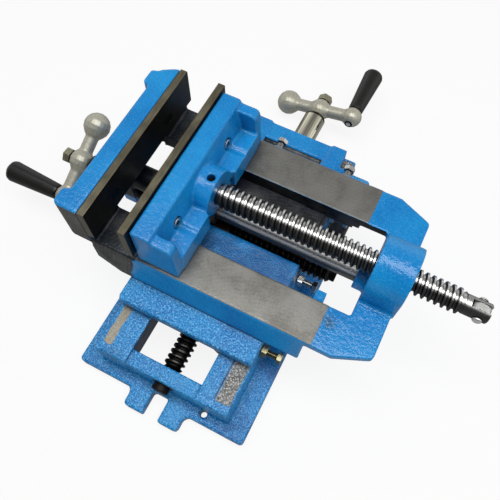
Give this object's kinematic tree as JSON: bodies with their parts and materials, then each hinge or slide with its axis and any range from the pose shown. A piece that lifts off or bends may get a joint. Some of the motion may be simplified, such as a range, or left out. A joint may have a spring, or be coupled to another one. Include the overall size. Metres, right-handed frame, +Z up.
{
  "type": "cross slide vise",
  "caption": "Bench vise on two crossed dovetail slides with ball crank lead screws, a screw driven moving jaw and a slotted clamping base",
  "frame": {"origin": "middle of the base's underside, on the surface that it stands on", "axes": "+X along the clamp screw towards its free end, +Y along the jaws towards the lower slide's crank, +Z up"},
  "size_m": [0.4296, 0.4081, 0.1396],
  "materials": {
    "blue_paint": "bright blue gloss paint on cast iron, with ground slide faces",
    "gib_iron": "planed iron",
    "zinc_steel": "zinc plated",
    "bronze": "turned bronze",
    "black_steel": "black oxide with brown worn edges",
    "bright_steel": "bright turned steel",
    "oxide_steel": "black oxide, oiled",
    "chrome": "polished",
    "silver_paint": "silver grey paint on a casting",
    "black_plastic": "black moulded plastic, slight sheen"
  },
  "bodies": {
    "base": {"base_casting": "blue_paint", "y_gib": "gib_iron", "y_gib_screw_1": "zinc_steel", "y_gib_screw_2": "zinc_steel", "y_gib_screw_3": "zinc_steel", "y_gib_nut_1": "zinc_steel", "y_gib_nut_2": "zinc_steel", "y_gib_nut_3": "zinc_steel", "y_front_bush": "bronze", "y_rear_bush": "bronze"},
    "saddle": {"saddle_casting": "blue_paint", "x_feed_nut": "bronze", "y_feed_nut": "bronze"},
    "vise_body": {"body_casting": "blue_paint", "fixed_jaw_plate": "black_steel", "fixed_plate_screw_front": "bright_steel", "fixed_plate_screw_rear": "bright_steel", "guide_rod": "bright_steel", "x_gib": "gib_iron", "x_gib_screw_1": "zinc_steel", "x_gib_screw_2": "zinc_steel", "x_gib_screw_3": "zinc_steel", "x_gib_nut_1": "zinc_steel", "x_gib_nut_2": "zinc_steel", "x_gib_nut_3": "zinc_steel", "x_screw_bush": "bronze"},
    "moving_jaw": {"moving_jaw_casting": "blue_paint", "moving_jaw_plate": "black_steel", "moving_plate_screw_front": "oxide_steel", "moving_plate_screw_rear": "oxide_steel", "nose_grub_screw": "oxide_steel"},
    "clamp_screw_body": {"clamp_screw": "bright_steel", "swivel_pin": "bright_steel"},
    "handle_swivel": {"handle_tongue": "bright_steel"},
    "x_screw": {"x_lead_screw": "oxide_steel", "x_thrust_collar": "chrome", "x_crank_arm": "silver_paint", "x_crank_nut": "zinc_steel", "x_grip_spindle": "bright_steel"},
    "x_grip_body": {"x_grip": "black_plastic"},
    "y_screw": {"y_lead_screw": "oxide_steel", "y_thrust_collar": "chrome", "y_crank_arm": "silver_paint", "y_crank_nut": "zinc_steel", "y_grip_spindle": "bright_steel"},
    "y_grip_body": {"y_grip": "black_plastic"}
  },
  "joints": [
    {"name": "cross_slide", "type": "slide", "parent": "base", "child": "saddle", "axis": [0, 1, 0], "range_m": [-0.075, 0.045]},
    {"name": "y_screw_turn", "type": "hinge", "parent": "base", "child": "y_screw", "pos_m": [0, 0, 0.026], "axis": [0, 1, 0], "range_deg": [-3250, 5410]},
    {"name": "y_grip_spin", "type": "hinge", "parent": "y_screw", "child": "y_grip_body", "pos_m": [0.03425, 0.2205, 0.03322], "axis": [0, 1, 0], "continuous": true},
    {"name": "long_slide", "type": "slide", "parent": "saddle", "child": "vise_body", "axis": [1, 0, 0], "range_m": [-0.07, 0.033]},
    {"name": "x_screw_turn", "type": "hinge", "parent": "vise_body", "child": "x_screw", "pos_m": [-0.086, 0.01, 0.056], "axis": [1, 0, 0], "range_deg": [-5050, 2390]},
    {"name": "x_grip_spin", "type": "hinge", "parent": "x_screw", "child": "x_grip_body", "pos_m": [-0.1965, -0.02187, 0.04154], "axis": [1, 0, 0], "continuous": true},
    {"name": "jaw_slide", "type": "slide", "parent": "vise_body", "child": "moving_jaw", "axis": [1, 0, 0], "range_m": [-0.0283, 0.1]},
    {"name": "clamp_screw_turn", "type": "hinge", "parent": "moving_jaw", "child": "clamp_screw_body", "pos_m": [0, 0.01, 0.1095], "axis": [1, 0, 0], "range_deg": [-2050, 7210]},
    {"name": "handle_swivel_turn", "type": "hinge", "parent": "clamp_screw_body", "child": "handle_swivel", "pos_m": [0.193, 0.01, 0.1095], "axis": [0, 1, 0], "range_deg": [-95, 95]}
  ],
  "couplings": [
    {"joint": "y_screw_turn", "follows": "cross_slide", "rad_per_m": -1256.6},
    {"joint": "x_screw_turn", "follows": "long_slide", "rad_per_m": 1256.6},
    {"joint": "clamp_screw_turn", "follows": "jaw_slide", "rad_per_m": 1256.6}
  ]
}
